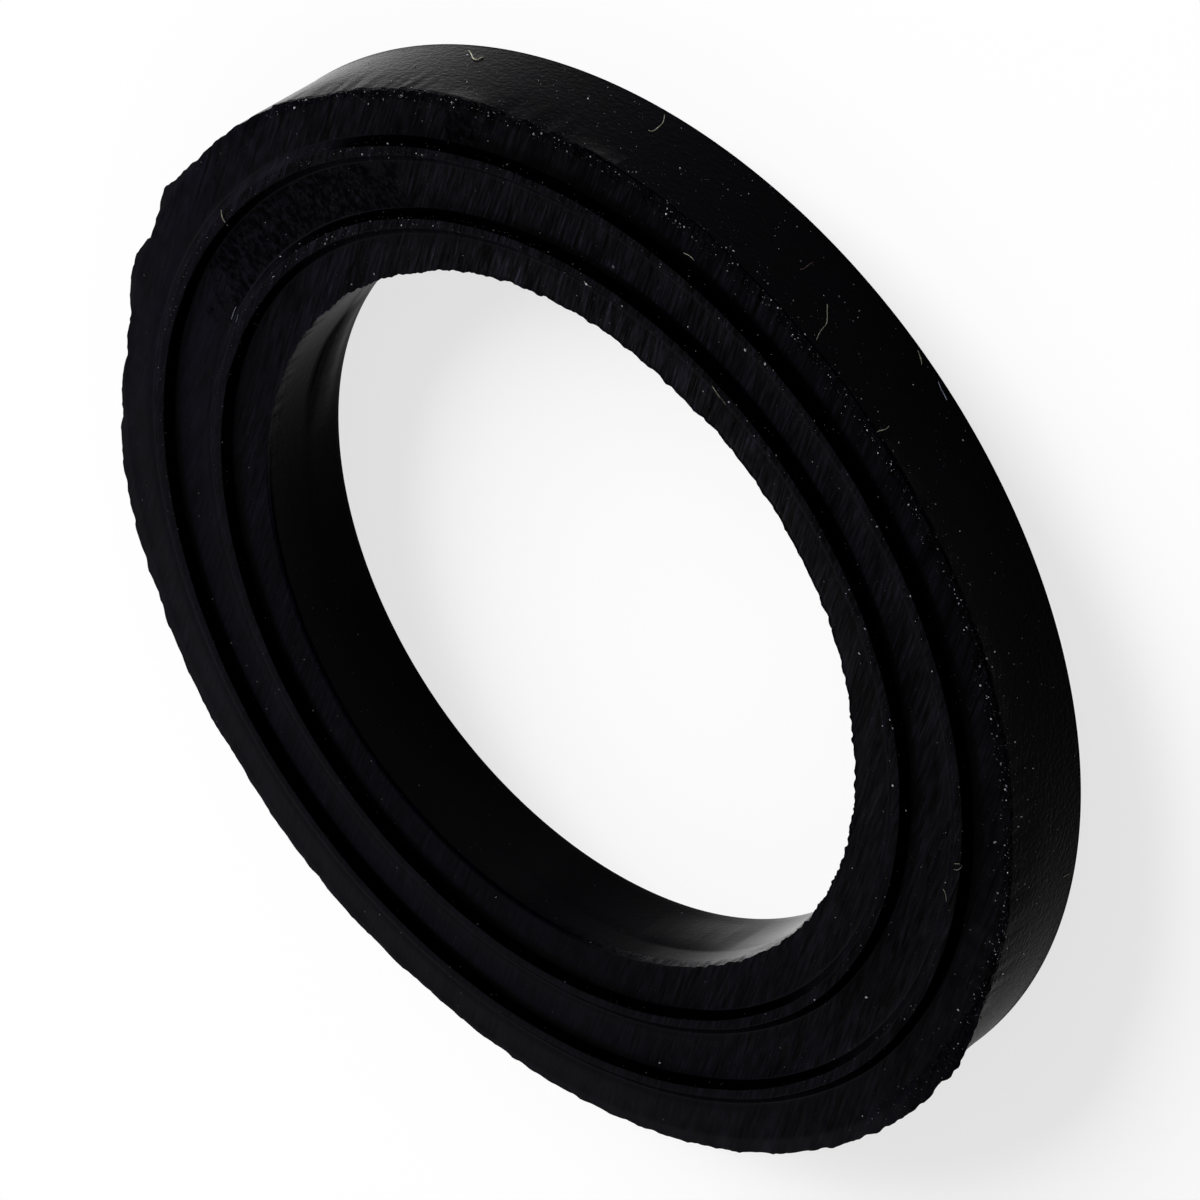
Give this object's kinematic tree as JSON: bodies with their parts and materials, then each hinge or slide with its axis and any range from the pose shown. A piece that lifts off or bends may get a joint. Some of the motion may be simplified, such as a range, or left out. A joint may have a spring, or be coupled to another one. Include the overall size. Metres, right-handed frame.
{
  "type": "drain plug gasket",
  "caption": "Flat rubber sealing ring for a drain plug, with raised concentric beads on its front face, a plain back and ragged mould flash on the outer edge.",
  "frame": {"origin": "centre of the bore on the flat back face, which the gasket rests on", "axes": "+Z along the bore axis, from the flat back to the beaded front face; -Y is the side nearest the camera"},
  "size_m": [0.0249, 0.025, 0.0026],
  "materials": {
    "black_rubber": "satin moulded rubber"
  },
  "bodies": {
    "root": {"gasket_ring": "black_rubber"}
  },
  "joints": []
}
